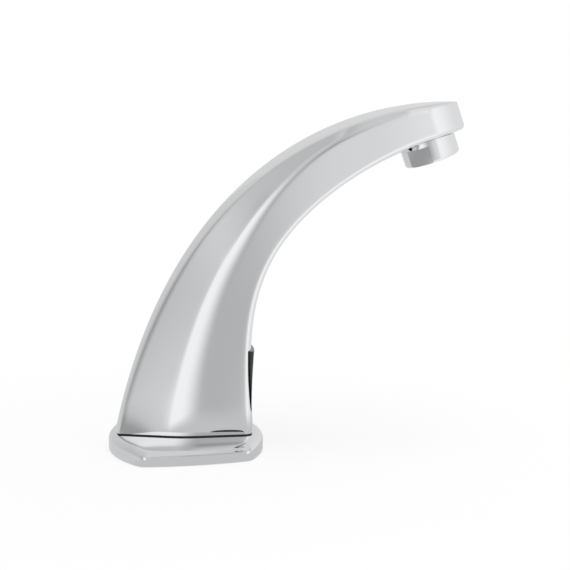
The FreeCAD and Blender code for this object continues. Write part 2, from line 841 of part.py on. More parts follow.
spring_z0 = pocket_z + spring_wire_r + 0.02
spring_z1 = core_z - spring_wire_r - 0.02
spring_height = spring_z1 - spring_z0
helix = Part.makeHelix(spring_height / spring_turns, spring_height, spring_r)
wire_start = Part.makeCircle(spring_wire_r, V(spring_r, 0, 0), V(0, 1, 0))
spring = Part.Wire(helix).makePipeShell([Part.Wire(wire_start)], True, True)
spring.translate(V(inlet_x, 0, spring_z0))

guide_r = plunger_r + slip + guide_skin
yoke_top_z = guide_top_z + magnet_thickness + slip
bobbin_z = hub_top_z + yoke_skin
bobbin_top_z = guide_top_z
flange_r = yoke_r - yoke_skin - gap
bobbin = fuse(
    ring(guide_r + slip + bobbin_skin, guide_r + slip, bobbin_z, bobbin_top_z, inlet_x),
    ring(flange_r, guide_r + slip, bobbin_z, bobbin_z + bobbin_flange, inlet_x),
    ring(flange_r, guide_r + slip, bobbin_top_z - top_flange, bobbin_top_z, inlet_x),
)
winding = ring(
    winding_r,
    guide_r + slip + bobbin_skin,
    bobbin_z + bobbin_flange,
    bobbin_top_z - top_flange,
    inlet_x,
)
magnet = rod(magnet_r, guide_top_z, yoke_top_z - slip, inlet_x)
yoke = rod(yoke_r, hub_top_z, yoke_top_z + yoke_skin, inlet_x)
yoke = cut(
    yoke,
    rod(yoke_r - yoke_skin, bobbin_z, yoke_top_z, inlet_x),
    rod(guide_r + slip, hub_top_z - 1, bobbin_z + 1, inlet_x),
)
yoke = yoke.common(box(inlet_x - yoke_half, inlet_x + yoke_half, -beyond, beyond, 0, beyond))

# ---------------------------------------------------------------- water pipe
port = at_outlet(Part.Vertex(0, 0, port_h)).Point
pipe_end = port - axis_ahead * (adapter_r - pipe_engage)
run_start = pipe_end - axis_ahead * pipe_run_in
rise_end = V(branch_x, 0, valve_top_z + pipe_rise)
chord = (run_start - rise_end).Length
bend = Part.BezierCurve()
bend.setPoles([
    rise_end,
    rise_end + V(0, 0, chord * pipe_bend_share),
    run_start - axis_ahead * (chord * pipe_bend_share),
    run_start,
])
pipe_start = V(branch_x, 0, ring_seat_z - pipe_engage)
spine = Part.Wire([
    Part.LineSegment(pipe_start, rise_end).toShape(),
    bend.toShape(),
    Part.LineSegment(run_start, pipe_end).toShape(),
])


def along_pipe(r):
    circle = Part.Wire(Part.makeCircle(r, pipe_start, V(0, 0, 1)))
    return spine.makePipeShell([circle], True, True)


water_tube = along_pipe(pipe_r).cut(along_pipe(pipe_bore_r))

ring_mid_r = pipe_r + pipe_ring_wire * 0.94
tube_ring = Part.makeTorus(ring_mid_r, pipe_ring_wire * 0.94, V(branch_x, 0, ring_seat_z + pipe_ring_wire))
hexagon = [
    V(branch_x + nut_corner_r * math.cos(math.radians(60 * i)),
      nut_corner_r * math.sin(math.radians(60 * i)), valve_top_z)
    for i in range(7)
]
nut_head = Part.Face(Part.makePolygon(hexagon)).extrude(V(0, 0, nut_head_height))
tube_nut = fuse(nut_head, rod(nut_r, nut_seat_z, valve_top_z + 0.5, branch_x))
tube_nut = tube_nut.cut(rod(pipe_r + slip, nut_seat_z - 1, valve_top_z + 9, branch_x))

# ---------------------------------------------------------------- outlet adapter
adapter = adapter_outside(0, 0)
adapter = cut(
    adapter,
    rod(sleeve_r + slip, seat_h - 1, thread_top_h),
    rod(chamber_r, thread_top_h - 1, chamber_top_h),
    rod_x(pipe_bore_r, -adapter_r - 2, 0.5 - chamber_r, 0, port_h),
    rod_x(pipe_r + slip, -adapter_r - 2, -adapter_r + pipe_engage, 0, port_h),
)
port_ring_x = -adapter_r + 2 * port_ring_wire * 0.5 + 0.35
groove = rod_x(pipe_r + 2 * port_ring_wire, port_ring_x - port_ring_wire,
               port_ring_x + port_ring_wire, 0, port_h)
adapter = adapter.cut(groove)
adapter_ring = Part.makeTorus(pipe_r + port_ring_wire, port_ring_wire * 0.97,
                              V(port_ring_x, 0, port_h), V(1, 0, 0))
adapter = at_outlet(adapter)
adapter_ring = at_outlet(adapter_ring)

# ---------------------------------------------------------------- aerator
housing = fuse(
    rod(ring_r, 0, ring_height),
    rod(sleeve_r, ring_height - 1, sleeve_top_h),
)
edge = ring_round
rounder = turned([
    (0, -1),
    (ring_r - edge, -1),
    (ring_r - edge, 0),
    (ring_r, edge),
    (ring_r, ring_height - edge),
    (ring_r - edge, ring_height),
    (sleeve_r + 0.01, ring_height),
    (sleeve_r + 0.01, sleeve_top_h + 1),
    (0, sleeve_top_h + 1),
])
housing = housing.common(rounder)
insert_top_h = sleeve_top_h - slip
housing = cut(
    housing,
    rod(mouth_r, -1, sleeve_top_h + 1),
    rod(ring_bore_r, mouth_lip, sleeve_top_h + 1),
)
for side in (1, -1):
    flat = box(-beyond, beyond, ring_across_flats / 2, beyond, -beyond, flat_top)
    flat.rotate(V(0, 0, 0), V(0, 0, 1), 90 - 90 * side)
    flat.rotate(V(0, 0, 0), V(0, 0, 1), -ring_flat_turn)
    housing = housing.cut(flat)
aerator_housing = at_outlet(housing)

insert_r = ring_bore_r - slip
insert = fuse(
    ring(insert_r, mouth_r - 0.4, mouth_lip, insert_top_h),
    rod(mouth_r, honey_h, honey_h + insert_web),
    rod(mouth_r, jet_h, jet_h + insert_web),
)
holes = []
for count, circle, hole_r in ((1, 0, 1.15), (6, 3.1, 1.15), (12, 6.1, 1.15)):
    for i in range(count):
        a = 2 * math.pi * i / count
        x, y = circle * math.cos(a), circle * math.sin(a)
        holes.append(rod(hole_r, honey_h - 1, honey_h + insert_web + 1, x, y))
for i in range(insert_holes):
    a = 2 * math.pi * i / insert_holes
    holes.append(rod(0.6, jet_h - 1, jet_h + insert_web + 1, 5.2 * math.cos(a), 5.2 * math.sin(a)))
aerator_insert = at_outlet(insert.cut(Part.makeCompound(holes)))

screen = rod(mouth_r - 0.4 - slip, screen_h, screen_h + screen_thickness)
holes = []
for count, circle in ((1, 0), (6, 2.4), (12, 4.6), (18, 6.8)):
    for i in range(count):
        a = 2 * math.pi * i / count
        x, y = circle * math.cos(a), circle * math.sin(a)
        holes.append(rod(0.7, screen_h - 1, screen_h + 1, x, y))
aerator_screen = at_outlet(screen.cut(Part.makeCompound(holes)))
washer = ring(sleeve_r - gap, washer_bore_r, sleeve_top_h, thread_top_h)
aerator_washer = at_outlet(washer)

# ---------------------------------------------------------------- sensor module
sensor_z0 = window_bottom_z + sensor_hole_margin
sensor_z1 = window_top_z - sensor_hole_margin
sensor_x0 = seal_back_x + 0.3 - sensor_depth
sensor_mid_z = (sensor_z0 + sensor_z1) / 2
sensor_box = box(sensor_x0, seal_back_x + 0.3, -sensor_half, sensor_half, sensor_z0, sensor_z1)
inside_half = sensor_half - sensor_skin
inside = box(
    sensor_x0 + sensor_skin,
    seal_back_x + 2,
    -inside_half,
    inside_half,
    sensor_z0 + sensor_skin,
    sensor_z1 - sensor_skin,
)
strap_x = ledge_back_x - strap_thickness
straps = [
    box(strap_x, ledge_back_x, -strap_half, strap_half, sensor_z1 - 0.5, ledge_top_z - 0.4),
    box(strap_x, ledge_back_x, -strap_half, strap_half, ledge_bottom_z + 0.4, sensor_z0 + 0.5),
]
posts = []
for y in (inside_half - 1.6, 1.6 - inside_half):
    for z in (sensor_z0 + sensor_skin + 1.6, sensor_z1 - sensor_skin - 1.6):
        posts.append(rod_x(1.2, sensor_x0 + sensor_skin - 0.5, board_x, y, z))
sensor_housing = fuse(sensor_box.cut(inside), *straps, *posts)
divider = box(
    board_x + board_thickness + gap,
    seal_back_x,
    -0.5,
    0.5,
    sensor_z0 + 0.5,
    sensor_mid_z + lens_r,
)
sensor_housing = sensor_housing.fuse(divider)
sensor_screws = []
for z in strap_screw_z:
    sensor_housing = sensor_housing.cut(rod_x(sensor_screw_r + slip, strap_x - 1, ledge_back_x + 1, 0, z))
    shank = rod_x(sensor_screw_r, strap_x, ledge_back_x + sensor_screw_bite, 0, z)
    head = rod_x(sensor_screw_head_r, strap_x - sensor_screw_head, strap_x, 0, z)
    sensor_screws.append(fuse(shank, head).cut(rod_x(0.8, strap_x - 3, strap_x - 0.7, 0, z)))
sensor_screw_set = Part.makeCompound(sensor_screws)

board = box(
    board_x,
    board_x + board_thickness,
    -inside_half + gap,
    inside_half - gap,
    sensor_z0 + sensor_skin + gap,
    sensor_z1 - sensor_skin - gap,
)


def lamp(r, length, y, z):
    """Round lamp with a domed front, standing on the board."""
    start = board_x + board_thickness
    tube = rod_x(r, start, start + length - r, y, z)
    dome = Part.makeSphere(r, V(start + length - r, y, z))
    base = rod_x(r + 0.4, start, start + 0.8, y, z)
    front = box(start, start + beyond, y - 2 * r, y + 2 * r, z - 2 * r, z + 2 * r)
    return fuse(tube, dome.common(front), base)


lens_y = inside_half / 2
ir_emitter = lamp(lens_r, lens_length, lens_y, sensor_mid_z)
ir_receiver = lamp(lens_r, lens_length, -lens_y, sensor_mid_z)
status_led = lamp(led_r, led_length, 0, sensor_mid_z + lens_r + led_r + 1.5)

# ---------------------------------------------------------------- lead to the coil
lead_top_z = bobbin_top_z - top_flange / 2
lead_low_z = sensor_mid_z + 3
lead_x = (branch_x + inlet_x + yoke_r) / 2 + 1.5
turn = 1.6
leads = []
for side in (1, -1):
    y = side * lead_y
    start = V(inlet_x + 3.2, y, lead_top_z)
    a = V(lead_x - turn, y, lead_top_z)
    b = V(lead_x, y, lead_top_z - turn)
    c = V(lead_x, y, lead_low_z + turn)
    d = V(lead_x + turn, y, lead_low_z)
    finish = V(board_x - slip, y, lead_low_z)
    k = turn * math.sqrt(0.5)
    mid_ab = V(lead_x - turn + k, y, lead_top_z - turn + k)
    mid_cd = V(lead_x + turn - k, y, lead_low_z + turn - k)
    path = Part.Wire([
        Part.LineSegment(start, a).toShape(),
        Part.Arc(a, mid_ab, b).toShape(),
        Part.LineSegment(b, c).toShape(),
        Part.Arc(c, mid_cd, d).toShape(),
        Part.LineSegment(d, finish).toShape(),
    ])
    circle = Part.Wire(Part.makeCircle(lead_r, start, V(1, 0, 0)))
    leads.append(path.makePipeShell([circle], True, True))
    bobbin = bobbin.cut(rod_x(lead_r + slip, inlet_x + 3.2 - slip, inlet_x + 20, y, lead_top_z))
    sensor_housing = sensor_housing.cut(rod_x(lead_r + slip, sensor_x0 - 2, sensor_x0 + 3, y, lead_low_z))
coil_lead = Part.makeCompound(leads)

# ---------------------------------------------------------------- files
nodes = {
    "base_plate": base_plate,
    "deck_gasket": deck_seal,
    "body_gasket": body_gasket,
    "spout_shell": spout_shell,
    "sensor_window": window,
    "window_seal": window_seal,
    "mounting_foot": foot,
    "foot_screws": foot_screw_set,
    "cable_grommet": grommet,
    "inlet_filter": strainer,
    "valve_body": valve_body,
    "valve_o_ring": seal_ring,
    "diaphragm": diaphragm,
    "valve_bonnet": bonnet,
    "valve_screws": valve_screw_set,
    "plunger": plunger,
    "plunger_spring": spring,
    "latch_magnet": magnet,
    "coil_bobbin": bobbin,
    "coil_winding": winding,
    "coil_yoke": yoke,
    "water_tube": water_tube,
    "tube_o_ring": tube_ring,
    "tube_nut": tube_nut,
    "outlet_adapter": adapter,
    "adapter_o_ring": adapter_ring,
    "aerator_housing": aerator_housing,
    "aerator_insert": aerator_insert,
    "aerator_screen": aerator_screen,
    "aerator_washer": aerator_washer,
    "sensor_housing": sensor_housing,
    "sensor_screws": sensor_screw_set,
    "sensor_board": board,
    "ir_emitter": ir_emitter,
    "ir_receiver": ir_receiver,
    "status_led": status_led,
    "coil_lead": coil_lead,
}
for name, shape in nodes.items():
    export(shape, name)
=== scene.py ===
import json
import math

import bmesh
import bpy
from mathutils import Matrix, Vector


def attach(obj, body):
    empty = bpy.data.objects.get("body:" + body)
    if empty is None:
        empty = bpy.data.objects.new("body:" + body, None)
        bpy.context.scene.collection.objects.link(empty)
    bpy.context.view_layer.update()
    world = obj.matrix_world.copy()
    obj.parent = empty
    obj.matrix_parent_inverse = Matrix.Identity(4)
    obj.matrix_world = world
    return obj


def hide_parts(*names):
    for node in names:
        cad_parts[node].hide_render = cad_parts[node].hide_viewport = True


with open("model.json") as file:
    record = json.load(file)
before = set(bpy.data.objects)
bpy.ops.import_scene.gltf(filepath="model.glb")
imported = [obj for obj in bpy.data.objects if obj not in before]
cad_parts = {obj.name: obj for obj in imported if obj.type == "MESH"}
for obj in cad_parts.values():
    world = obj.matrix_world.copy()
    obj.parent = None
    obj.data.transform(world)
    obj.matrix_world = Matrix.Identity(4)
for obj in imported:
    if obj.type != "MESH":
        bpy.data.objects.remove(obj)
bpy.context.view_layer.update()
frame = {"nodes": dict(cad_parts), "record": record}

# ---------------------------------------------------------------------------
# Camera: a long lens just above the tap's middle, on its left side and a
# little behind it, looking slightly down.
camera_place = Vector((-0.07689, -0.55576, 0.14767))
camera_swing = math.radians(12.47)
camera_drop = math.radians(8.0)
look = Vector((
    math.sin(camera_swing) * math.cos(camera_drop),
    math.cos(camera_swing) * math.cos(camera_drop),
    -math.sin(camera_drop),
))
camera_data = bpy.data.cameras.new("camera")
camera_data.lens = 85.7
camera_data.sensor_width = 36.0
camera_data.clip_start = 0.01
camera = bpy.data.objects.new("camera", camera_data)
camera.location = camera_place
camera.rotation_euler = look.to_track_quat("-Z", "Y").to_euler()
bpy.context.collection.objects.link(camera)
bpy.context.scene.camera = camera

# ---------------------------------------------------------------------------
# Studio: a white sweep under a soft box, and round it a tent that only the
# chrome shows. Its wall has a dark gap, two white panels and an opening, which
# give the chrome its soft bands of grey.
scene = bpy.context.scene
scene.view_settings.view_transform = "Standard"


def white_for_picture(nodes, links):
    """1 for rays from the camera, in a mirror or through glass, and 0 for the rest."""
    path = nodes.new("ShaderNodeLightPath")
    either = nodes.new("ShaderNodeMath")
    either.operation = "MAXIMUM"
    any_of = nodes.new("ShaderNodeMath")
    any_of.operation = "MAXIMUM"
    links.new(path.outputs["Is Camera Ray"], either.inputs[0])
    links.new(path.outputs["Is Glossy Ray"], either.inputs[1])
    links.new(either.outputs["Value"], any_of.inputs[0])
    links.new(path.outputs["Is Transmission Ray"], any_of.inputs[1])
    return any_of.outputs["Value"]


world = bpy.data.worlds.new("studio")
scene.world = world
world.use_nodes = True
nodes = world.node_tree.nodes
links = world.node_tree.links
nodes.clear()
world_out = nodes.new("ShaderNodeOutputWorld")
world_mix = nodes.new("ShaderNodeMixShader")
world_seen = nodes.new("ShaderNodeBackground")
world_seen.inputs["Color"].default_value = (1, 1, 1, 1)
world_fill = nodes.new("ShaderNodeBackground")
world_fill.inputs["Color"].default_value = (0.66, 0.66, 0.67, 1)
links.new(white_for_picture(nodes, links), world_mix.inputs["Fac"])
links.new(world_fill.outputs["Background"], world_mix.inputs[1])
links.new(world_seen.outputs["Background"], world_mix.inputs[2])
links.new(world_mix.outputs["Shader"], world_out.inputs["Surface"])

lamp_side = 0.7
lamp_watts = 4.0
lamp_aim = Vector((0.05, 0, 0.05))
lamp_data = bpy.data.lights.new("top_light", "AREA")
lamp_data.shape = "SQUARE"
lamp_data.size = lamp_side
lamp_data.energy = lamp_watts
top_light = bpy.data.objects.new("top_light", lamp_data)
top_light.location = (0.10, -0.15, 0.95)
aim = lamp_aim - Vector(top_light.location)
top_light.rotation_euler = aim.to_track_quat("-Z", "Y").to_euler()
top_light.visible_glossy = False
bpy.context.collection.objects.link(top_light)

floor_half = 3
floor_corners = [(-1, -1), (1, -1), (1, 1), (-1, 1)]
floor_mesh = bpy.data.meshes.new("floor")
floor_mesh.from_pydata([(floor_half * x, floor_half * y, 0) for x, y in floor_corners], [], [(0, 1, 2, 3)])
floor = bpy.data.objects.new("floor", floor_mesh)
bpy.context.collection.objects.link(floor)
floor_white = bpy.data.materials.new("floor_white")
floor_white.use_nodes = True
nodes = floor_white.node_tree.nodes
links = floor_white.node_tree.links
nodes.clear()
floor_out = nodes.new("ShaderNodeOutputMaterial")
floor_mix = nodes.new("ShaderNodeMixShader")
floor_glow = nodes.new("ShaderNodeEmission")
floor_glow.inputs["Color"].default_value = (1, 1, 1, 1)
floor_paint = nodes.new("ShaderNodeBsdfDiffuse")
floor_paint.inputs["Color"].default_value = (0.92, 0.92, 0.92, 1)
# the sweep is pure white farther out, and takes a soft shadow near the tap
floor_place = nodes.new("ShaderNodeTexCoord")
floor_far = nodes.new("ShaderNodeVectorMath")
floor_far.operation = "LENGTH"
floor_share = nodes.new("ShaderNodeMapRange")
floor_share.interpolation_type = "SMOOTHSTEP"
floor_share.inputs["From Min"].default_value = 0.05
floor_share.inputs["From Max"].default_value = 0.22
floor_share.inputs["To Min"].default_value = 0.78
floor_share.inputs["To Max"].default_value = 1.0
floor_shown = nodes.new("ShaderNodeMath")
floor_shown.operation = "MULTIPLY"
links.new(floor_place.outputs["Object"], floor_far.inputs[0])
links.new(floor_far.outputs["Value"], floor_share.inputs["Value"])
links.new(floor_share.outputs["Result"], floor_shown.inputs[0])
links.new(white_for_picture(nodes, links), floor_shown.inputs[1])
links.new(floor_shown.outputs["Value"], floor_mix.inputs["Fac"])
links.new(floor_paint.outputs["BSDF"], floor_mix.inputs[1])
links.new(floor_glow.outputs["Emission"], floor_mix.inputs[2])
links.new(floor_mix.outputs["Shader"], floor_out.inputs["Surface"])
floor_mesh.materials.append(floor_white)

tent_radius = 0.42
tent_centre = Vector((0.01, 0, 0.06))
tent_lift = 0.0003
tent_mesh = bpy.data.meshes.new("tent")
work = bmesh.new()
bmesh.ops.create_uvsphere(work, u_segments=96, v_segments=64, radius=tent_radius)
for vert in work.verts:
    vert.co.z = max(vert.co.z, tent_lift - tent_centre.z)
work.to_mesh(tent_mesh)
work.free()
tent = bpy.data.objects.new("tent", tent_mesh)
tent.location = tent_centre
tent.visible_camera = False
tent.visible_diffuse = False
tent.visible_transmission = False
tent.visible_shadow = False
bpy.context.collection.objects.link(tent)
tent_cloth = bpy.data.materials.new("tent_cloth")
tent_cloth.use_nodes = True
nodes = tent_cloth.node_tree.nodes
links = tent_cloth.node_tree.links
nodes.clear()


def sum_up(operation, first, second=None, third=None):
    """A math node on sockets or plain values."""
    node = nodes.new("ShaderNodeMath")
    node.operation = operation
    for i, value in enumerate((first, second, third)):
        if value is None:
            continue
        if isinstance(value, (int, float)):
            node.inputs[i].default_value = value
        else:
            links.new(value, node.inputs[i])
    return node.outputs["Value"]


def grey_ramp(value, stops):
    """Greys by a value from 0 to 1, eased from stop to stop."""
    node = nodes.new("ShaderNodeValToRGB")
    node.color_ramp.interpolation = "EASE"
    while len(node.color_ramp.elements) < len(stops):
        node.color_ramp.elements.new(0.5)
    for element, (place, level) in zip(node.color_ramp.elements, stops):
        element.position = place
        element.color = (level, level, level, 1)
    links.new(value, node.inputs["Fac"])
    return node.outputs["Color"]


tent_place = nodes.new("ShaderNodeTexCoord")
tent_split = nodes.new("ShaderNodeSeparateXYZ")
links.new(tent_place.outputs["Object"], tent_split.inputs["Vector"])
tent_away = sum_up("MULTIPLY", tent_split.outputs["Y"], -1.0)
tent_turn = sum_up("ARCTAN2", tent_split.outputs["X"], tent_away)
tent_rise = sum_up("ARCSINE", sum_up("DIVIDE", tent_split.outputs["Z"], tent_radius))
# turned from the -Y side, plus towards +X; the pattern leans with height
tent_lean_by = 0.17
tent_lean = sum_up("MULTIPLY_ADD", tent_rise, tent_lean_by, tent_turn)
tent_share = sum_up("MULTIPLY_ADD", tent_lean, 0.5 / math.pi, 0.5)
# degrees and levels: a grey wall behind, a dark gap, a white panel, a dimmer
# opening, a second panel
around_degrees = [
    (-180, 0.65), (-90, 0.55), (-60, 0.4), (-50, 0.35), (-45, 0.65), (-38, 1.0),
    (-30, 1.0), (0, 0.5), (25, 0.75), (40, 1.0), (100, 0.8), (180, 0.7),
]
walls = grey_ramp(tent_share, [((turn + 180) / 360, level) for turn, level in around_degrees])
roof_degrees = [(-180, 0.7), (-60, 0.55), (-25, 0.65), (0, 0.55), (40, 0.7), (180, 0.7)]
roof = grey_ramp(tent_share, [((turn + 180) / 360, level) for turn, level in roof_degrees])
roof_mix = nodes.new("ShaderNodeMix")
roof_mix.data_type = "RGBA"
roof_share = nodes.new("ShaderNodeMapRange")
roof_share.interpolation_type = "SMOOTHSTEP"
roof_share.inputs["From Min"].default_value = math.radians(28)
roof_share.inputs["From Max"].default_value = math.radians(52)
links.new(tent_rise, roof_share.inputs["Value"])
links.new(roof_share.outputs["Result"], roof_mix.inputs["Factor"])
links.new(walls, roof_mix.inputs["A"])
links.new(roof, roof_mix.inputs["B"])
tent_glow = nodes.new("ShaderNodeEmission")
tent_out = nodes.new("ShaderNodeOutputMaterial")
# close to the tap the tent shows the floor as an even grey, darker than the white floor itself: painted
# shade in its reflection
near_length = nodes.new("ShaderNodeVectorMath")
near_length.operation = "LENGTH"
links.new(tent_place.outputs["Object"], near_length.inputs[0])
near_share = nodes.new("ShaderNodeMapRange")
near_share.interpolation_type = "SMOOTHSTEP"
near_share.inputs["From Min"].default_value = 0.085
near_share.inputs["From Max"].default_value = 0.120
links.new(near_length.outputs["Value"], near_share.inputs["Value"])
near_mix = nodes.new("ShaderNodeMix")
near_mix.data_type = "RGBA"
near_mix.inputs["A"].default_value = (0.6, 0.6, 0.6, 1)
links.new(near_share.outputs["Result"], near_mix.inputs["Factor"])
links.new(roof_mix.outputs["Result"], near_mix.inputs["B"])
# and so it does low down on the left, where the darker wall ends
low_rise = sum_up("DIVIDE", sum_up("ADD", tent_rise, math.radians(2)), math.radians(-5))
low_turn = sum_up("DIVIDE", sum_up("ADD", tent_turn, math.radians(51)), math.radians(-8))
low_rise.node.use_clamp = True
low_turn.node.use_clamp = True
low_mix = nodes.new("ShaderNodeMix")
low_mix.data_type = "RGBA"
low_mix.inputs["B"].default_value = (0.65, 0.65, 0.65, 1)
links.new(sum_up("MULTIPLY", low_rise, low_turn), low_mix.inputs["Factor"])
links.new(near_mix.outputs["Result"], low_mix.inputs["A"])
# a darker patch high on the -Y side, and a small black spot on the tent's floor in front of the foot, seen
# only in the chrome: a painted dark reflection
patch_turn, patch_turn_wide = math.radians(4), math.radians(9)
patch_rise, patch_rise_wide = math.radians(40), math.radians(11)
patch_depth = 0.36
gap_across = sum_up("DIVIDE", sum_up("SUBTRACT", tent_turn, patch_turn), patch_turn_wide)
gap_up = sum_up("DIVIDE", sum_up("SUBTRACT", tent_rise, patch_rise), patch_rise_wide)
gap_far = sum_up("MULTIPLY_ADD", gap_up, gap_up, sum_up("MULTIPLY", gap_across, gap_across))
gap_dark = sum_up("MULTIPLY", sum_up("EXPONENT", sum_up("MULTIPLY", gap_far, -1.0)), patch_depth)
# painted dark reflection: a black spot low on the tent in front of the foot, which only the chrome shows
painted_dark_spot_place, painted_dark_spot_half = (0.0095, -0.050), (0.0085, 0.004)
painted_dark_spot_x = sum_up("DIVIDE", sum_up("SUBTRACT", tent_split.outputs["X"], painted_dark_spot_place[0]), painted_dark_spot_half[0])
painted_dark_spot_y = sum_up("DIVIDE", sum_up("SUBTRACT", tent_split.outputs["Y"], painted_dark_spot_place[1]), painted_dark_spot_half[1])
painted_dark_spot_far = sum_up("MULTIPLY_ADD", painted_dark_spot_x, painted_dark_spot_x, sum_up("MULTIPLY", painted_dark_spot_y, painted_dark_spot_y))
painted_dark_spot_low = sum_up("LESS_THAN", tent_split.outputs["Z"], 0.001 - tent_centre.z)
painted_dark_spot_in = sum_up("MULTIPLY", sum_up("LESS_THAN", painted_dark_spot_far, 1.0), painted_dark_spot_low)
painted_dark_spot_dim = sum_up("MULTIPLY_ADD", painted_dark_spot_in, -0.94, 1.0)
tent_level = sum_up("MULTIPLY", sum_up("SUBTRACT", 1.0, gap_dark), painted_dark_spot_dim)
links.new(tent_level, tent_glow.inputs["Strength"])
links.new(low_mix.outputs["Result"], tent_glow.inputs["Color"])
links.new(tent_glow.outputs["Emission"], tent_out.inputs["Surface"])
tent_mesh.materials.append(tent_cloth)

# ---------------------------------------------------------------------------
# Spout shell: a cast brass arch, polished and chrome plated. Its back is a
# narrow flat band, a crease runs along each side, and the nose is half round
# about the outlet's axis.
foot_z = 0.0081
foot_back = Vector((-0.0262, 0, foot_z))
foot_front = Vector((0.0284, 0, foot_z))
nose_back = Vector((0.129, 0, 0.1444))
nose_front = Vector((0.129, 0, 0.1336))
back_line = [
    foot_back,
    foot_back + Vector((0.0267, 0, 0.1185)),
    nose_back + Vector((-0.0464, 0, 0.0020)),
    nose_back,
]
front_line = [
    foot_front,
    foot_front + Vector((-0.0026, 0, 0.0677)),
    foot_front + Vector((-0.0036, 0, 0.0818)),
    nose_front + Vector((-0.0396, 0, 0.0005)),
    nose_front,
]
foot_half_widths = (0.0040, 0.0146, 0.0169)
nose_radius = 0.0171
parallel_from = 0.80
back_bow = 0.00035
front_bow = 0.0019
crease_share = (0.47, 0.19, 0.22)
crease_moves = (0.30, 0.64)
crease_least = 0.0008
corner_cut = (0.0030, 0.0016)
crease_cut = (0.0070, 0.0012)
back_corner_cut = 0.0010
bevel_loss = 0.86
wall = 0.0024

outlet = Vector((0.1108, 0, 0.1202))
tilt = math.radians(19.5)
axis_up = Vector((-math.sin(tilt), 0, math.cos(tilt)))
axis_ahead = Vector((math.cos(tilt), 0, math.sin(tilt)))
axis_side = Vector((0, 1, 0))


def along(points, t):
    while len(points) > 1:
        points = [a.lerp(b, t) for a, b in zip(points[:-1], points[1:])]
    return points[0]


def find_share(points, ahead):
    """Share of a line where it reaches that far ahead of the outlet's axis."""
    low, high = 0.3, 1.0
    for _ in range(50):
        middle = (low + high) / 2
        if (along(points, middle) - outlet).dot(axis_ahead) < ahead:
            low = middle
        else:
            high = middle
    return low


def spout_half_widths(t):
    grow = min(1.0, t / parallel_from)
    ease = math.sin(math.pi / 2 * grow)
    back, crease, front = foot_half_widths
    back = back + (nose_radius - back_corner_cut - back) * grow ** 1.4
    return back, crease + (nose_radius - crease) * ease, front + (nose_radius - front) * ease


def rounded_half(corners, cuts, arc_steps, line_steps):
    """Points from the first corner's middle to the last one's, with the corners rounded."""
    mirrored = [Vector((corners[1].x, -corners[1].y))] + corners
    mirrored += [Vector((corners[-2].x, -corners[-2].y))]
    rounds = []
    for i, cut in enumerate(cuts):
        here = mirrored[i + 1]
        to_last = (mirrored[i] - here).normalized()
        to_next = (mirrored[i + 2] - here).normalized()
        a = here + to_last * cut
        b = here + to_next * cut
        half = to_last.angle(to_next) / 2
        radius = cut * math.tan(half)
        centre = here + (to_last + to_next).normalized() * (radius / math.sin(half))
        sweep = math.pi - 2 * half
        start = (a - centre)
        sign = 1 if start.cross(b - centre) > 0 else -1
        arc = []
        for k in range(arc_steps + 1):
            turn = Matrix.Rotation(sign * sweep * k / arc_steps, 2)
            arc.append(centre + turn @ start)
        rounds.append(arc)
    rounds[0] = rounds[0][arc_steps // 2:]
    rounds[-1] = rounds[-1][:arc_steps // 2 + 1]
    points = []
    for i, arc in enumerate(rounds):
        points += arc
        if i < len(rounds) - 1:
            a, b = arc[-1], rounds[i + 1][0]
            points += [a.lerp(b, k / line_steps) for k in range(1, line_steps)]
    return points


def spout_half_section(t, depth, inset, arc_steps, line_steps):
    """Half outline as (distance from the back, half width)."""
    w_back, w_crease, w_front = [w - inset for w in spout_half_widths(t)]
    low, middle, high = crease_share
    step = min(1.0, max(0.0, (t - crease_moves[0]) / (crease_moves[1] - crease_moves[0])))
    share = low + (middle - low) * step * step * (3 - 2 * step)
    share += (high - middle) * max(0.0, (t - crease_moves[1]) / (1 - crease_moves[1]))
    u_crease = depth * share
    u_crease = max(u_crease, inset + crease_least)
    u_front = depth - inset
    corners = [
        Vector((inset - back_bow, 0)),
        Vector((inset, w_back)),
        Vector((u_crease, w_crease)),
        Vector((u_front, w_front)),
        Vector((u_front + 2 * front_bow, 0)),
    ]
    room = 0.45 * (corners[2] - corners[1]).length
    cuts = [
        0.75 * w_back,
        min(back_corner_cut, room, 0.2 * w_back),
        min(crease_cut[1] + (crease_cut[0] - crease_cut[1]) * (1 - t) ** 2.6, room),
        min(corner_cut[0] + (corner_cut[1] - corner_cut[0]) * t, 0.3 * w_front),
        0.65 * w_front,
    ]
    return rounded_half(corners, cuts, arc_steps, line_steps)


def grid_faces(rows, columns, around):
    """Quads of a grid of points that closes on itself around."""
    faces = []
    last = columns if around else columns - 1
    for i in range(rows - 1):
        for j in range(last):
            k = (j + 1) % columns
            faces.append((i * columns + j, i * columns + k, (i + 1) * columns + k, (i + 1) * columns + j))
    return faces


def finished_mesh(name, verts, faces):
    """A closed mesh with doubles merged and its faces turned outwards."""
    mesh = bpy.data.meshes.new(name)
    mesh.from_pydata([tuple(v) for v in verts], [], faces)
    work = bmesh.new()
    work.from_mesh(mesh)
    bmesh.ops.remove_doubles(work, verts=work.verts, dist=1e-7)
    bmesh.ops.dissolve_degenerate(work, dist=1e-8, edges=work.edges)
    bmesh.ops.recalc_face_normals(work, faces=work.faces)
    work.to_mesh(mesh)
    work.free()
    thing = bpy.data.objects.new(name, mesh)
    bpy.context.collection.objects.link(thing)
    return thing


